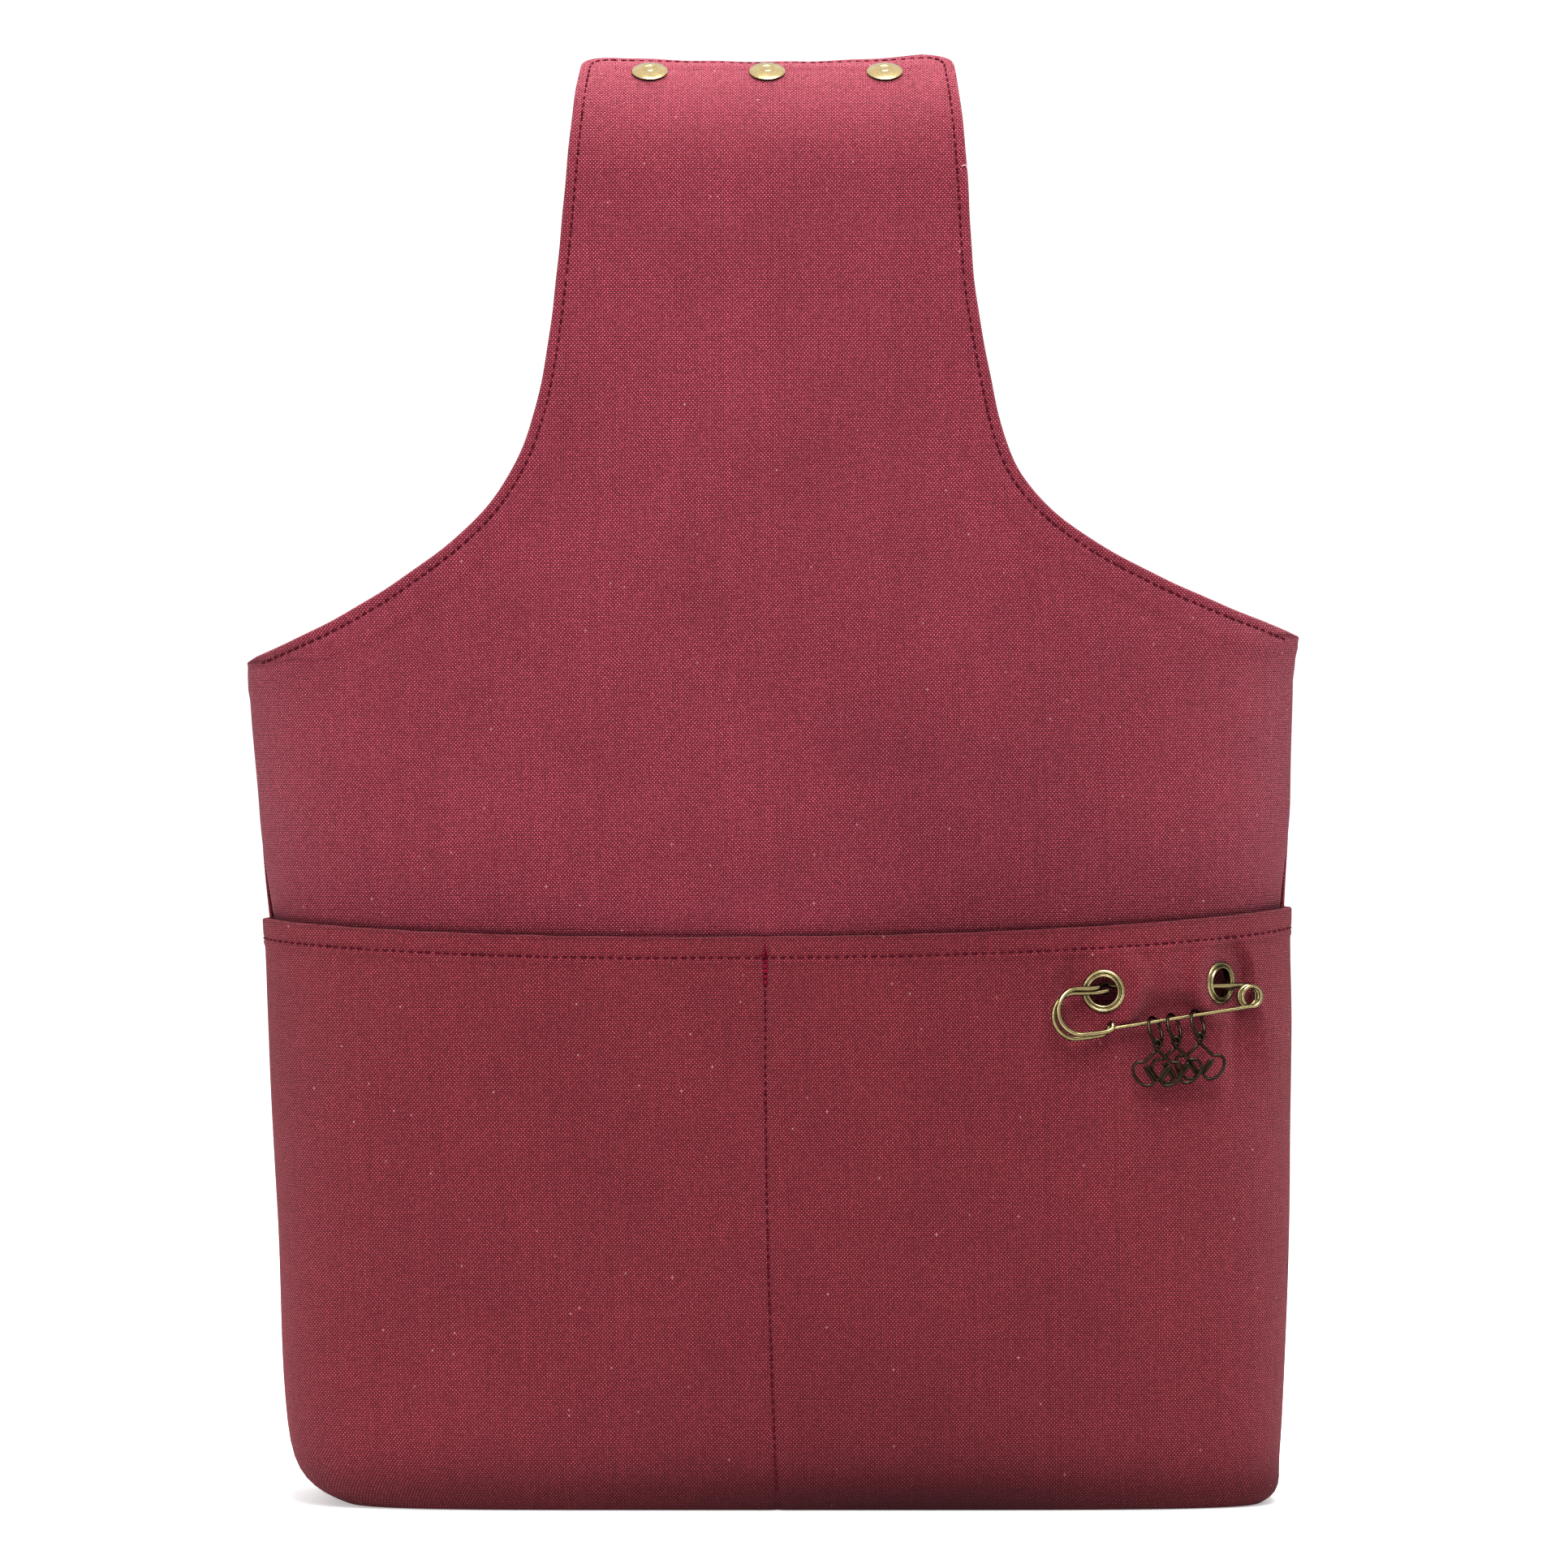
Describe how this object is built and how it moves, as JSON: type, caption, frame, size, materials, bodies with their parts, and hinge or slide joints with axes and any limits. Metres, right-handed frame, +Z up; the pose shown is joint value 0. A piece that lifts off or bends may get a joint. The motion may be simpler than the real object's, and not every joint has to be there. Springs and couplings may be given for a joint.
{
  "type": "knitting bag",
  "caption": "Boxed canvas knitting bag with a snap-closed wrist strap, split front pocket and a pin of hanging stitch markers.",
  "frame": {"origin": "under the middle of the box round the whole bag, on the surface it stands on", "axes": "+Z up, -Y out of the pocket side, +X to the right as seen from the front"},
  "size_m": [0.3046, 0.0936, 0.4167],
  "materials": {
    "canvas": "coarse woven canvas, wine red, matt",
    "lining": "plain cotton, matt",
    "thread": "twisted sewing thread",
    "brass": "antique, brushed and slightly worn",
    "bronze": "dark bronze plating on wire"
  },
  "bodies": {
    "bag": {"front_panel": "canvas", "back_panel": "canvas", "front_lining": "lining", "back_lining": "lining", "pocket_panel": "canvas", "pocket_divider_thread": "thread", "pocket_hem_thread": "thread", "snap_stud_1": "brass", "snap_stud_2": "brass", "snap_stud_3": "brass", "snap_post_1": "brass", "snap_post_2": "brass", "snap_post_3": "brass", "eyelet_left": "brass", "eyelet_right": "brass", "eyelet_washer_left": "brass", "eyelet_washer_right": "brass"},
    "front_neck": {"front_neck": "canvas", "front_neck_lining": "lining"},
    "strap_end": {"strap_end": "canvas", "strap_end_lining": "lining", "snap_cap_1": "brass", "snap_cap_2": "brass", "snap_cap_3": "brass", "snap_socket_1": "brass", "snap_socket_2": "brass", "snap_socket_3": "brass"},
    "pin": {"pin_frame": "brass"},
    "needle": {"pin_needle": "brass"},
    "marker_1": {"marker_ring_1": "bronze"},
    "charm_1": {"marker_charm_1": "bronze"},
    "marker_2": {"marker_ring_2": "bronze"},
    "charm_2": {"marker_charm_2": "bronze"},
    "marker_3": {"marker_ring_3": "bronze"},
    "charm_3": {"marker_charm_3": "bronze"}
  },
  "joints": [
    {"name": "front_neck_fold", "type": "hinge", "parent": "bag", "child": "front_neck", "pos_m": [-0.0005, -0.03074, 0.312], "axis": [1, 0, 0], "range_deg": [0, 150]},
    {"name": "strap_end_peel", "type": "hinge", "parent": "front_neck", "child": "strap_end", "pos_m": [-0.0005, -0.02521, 0.39875], "axis": [1, 0, 0], "range_deg": [0, 50]},
    {"name": "pin_swing", "type": "hinge", "parent": "bag", "child": "pin", "pos_m": [0.11172, -0.03319, 0.1503], "axis": [-0.9455, -0.3256, 0], "range_deg": [0, 100]},
    {"name": "needle_open", "type": "hinge", "parent": "pin", "child": "needle", "pos_m": [0.1378, -0.02844, 0.1474], "axis": [0.3256, -0.9455, 0], "range_deg": [0, 25], "stiffness_Nm_per_rad": 0.003, "springref_deg": -20.05},
    {"name": "marker_1_swing", "type": "hinge", "parent": "needle", "child": "marker_1", "pos_m": [0.10919, -0.0375, 0.14065], "axis": [-0.9453, -0.2991, -0.1298], "range_deg": [0, 70]},
    {"name": "charm_1_sway", "type": "hinge", "parent": "marker_1", "child": "charm_1", "pos_m": [0.11017, -0.04035, 0.13437], "axis": [0, -1, 0], "range_deg": [-20, 20]},
    {"name": "marker_2_swing", "type": "hinge", "parent": "needle", "child": "marker_2", "pos_m": [0.11462, -0.03578, 0.14139], "axis": [-0.9453, -0.2991, -0.1298], "range_deg": [0, 70]},
    {"name": "charm_2_sway", "type": "hinge", "parent": "marker_2", "child": "charm_2", "pos_m": [0.1156, -0.03863, 0.13512], "axis": [0, -1, 0], "range_deg": [-20, 20]},
    {"name": "marker_3_swing", "type": "hinge", "parent": "needle", "child": "marker_3", "pos_m": [0.12149, -0.03361, 0.14233], "axis": [-0.9453, -0.2991, -0.1298], "range_deg": [0, 70]},
    {"name": "charm_3_sway", "type": "hinge", "parent": "marker_3", "child": "charm_3", "pos_m": [0.12247, -0.03646, 0.13606], "axis": [0, -1, 0], "range_deg": [-20, 20]}
  ],
  "couplings": [
    {"joint": "marker_2_swing", "follows": "marker_1_swing", "ratio": 1},
    {"joint": "marker_3_swing", "follows": "marker_1_swing", "ratio": 1}
  ]
}
